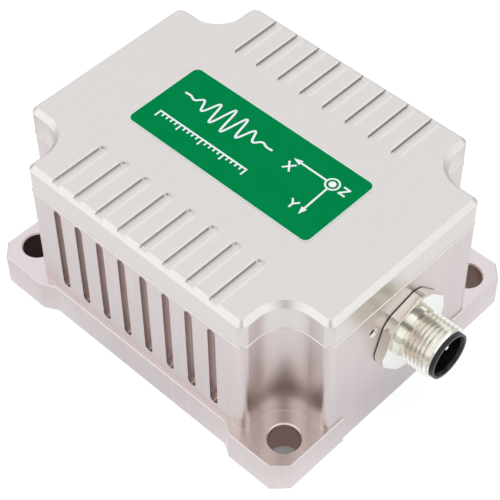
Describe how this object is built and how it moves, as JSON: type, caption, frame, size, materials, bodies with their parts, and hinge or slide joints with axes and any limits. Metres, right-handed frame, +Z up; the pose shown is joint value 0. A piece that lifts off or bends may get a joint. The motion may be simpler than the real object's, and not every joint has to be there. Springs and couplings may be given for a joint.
{
  "type": "vibration sensor",
  "caption": "Industrial vibration sensor: a milled aluminium box with notched corners, mounting ears, slotted sides, a green label and a round threaded connector.",
  "frame": {"origin": "centre of the base face, midway between the four mounting holes", "axes": "+X out of the connector, along the length; +Y across; +Z up through the cover"},
  "size_m": [0.0967, 0.0724, 0.0425],
  "materials": {
    "milled_aluminium": "silver anodised, satin milled",
    "label_film": "green printed film",
    "nickel_brass": "nickel plated, turned",
    "seal_rubber": "black, matte",
    "carrier_plastic": "black, moulded",
    "contact_metal": "gold plated",
    "screw_steel": "stainless",
    "lead_brown": "brown insulation",
    "lead_white": "white insulation",
    "lead_blue": "blue insulation",
    "lead_black": "black insulation",
    "ivory_plastic": "moulded nylon",
    "board_laminate": "green solder mask",
    "chip_plastic": "black moulded package",
    "chip_ceramic": "pale ceramic",
    "can_metal": "drawn can",
    "ferrite": "dark ferrite"
  },
  "bodies": {
    "root": {"base_housing": "milled_aluminium", "top_cover": "milled_aluminium", "cover_gasket": "seal_rubber", "cover_screws": "screw_steel", "label": "label_film", "connector_shell": "nickel_brass", "connector_seal": "seal_rubber", "connector_insert": "carrier_plastic", "contact_pins": "contact_metal", "connector_locknut": "nickel_brass", "lead_brown": "lead_brown", "lead_white": "lead_white", "lead_blue": "lead_blue", "lead_black": "lead_black", "wire_plug": "ivory_plastic", "board_header": "ivory_plastic", "circuit_board": "board_laminate", "board_screws": "screw_steel", "accelerometer": "chip_ceramic", "microcontroller": "chip_plastic", "crystal": "can_metal", "bus_transceiver": "chip_plastic", "voltage_regulator": "chip_plastic", "power_inductor": "ferrite", "bulk_capacitors": "can_metal", "surge_diodes": "chip_plastic", "ceramic_capacitors": "chip_ceramic", "chip_resistors": "chip_ceramic"}
  },
  "joints": []
}
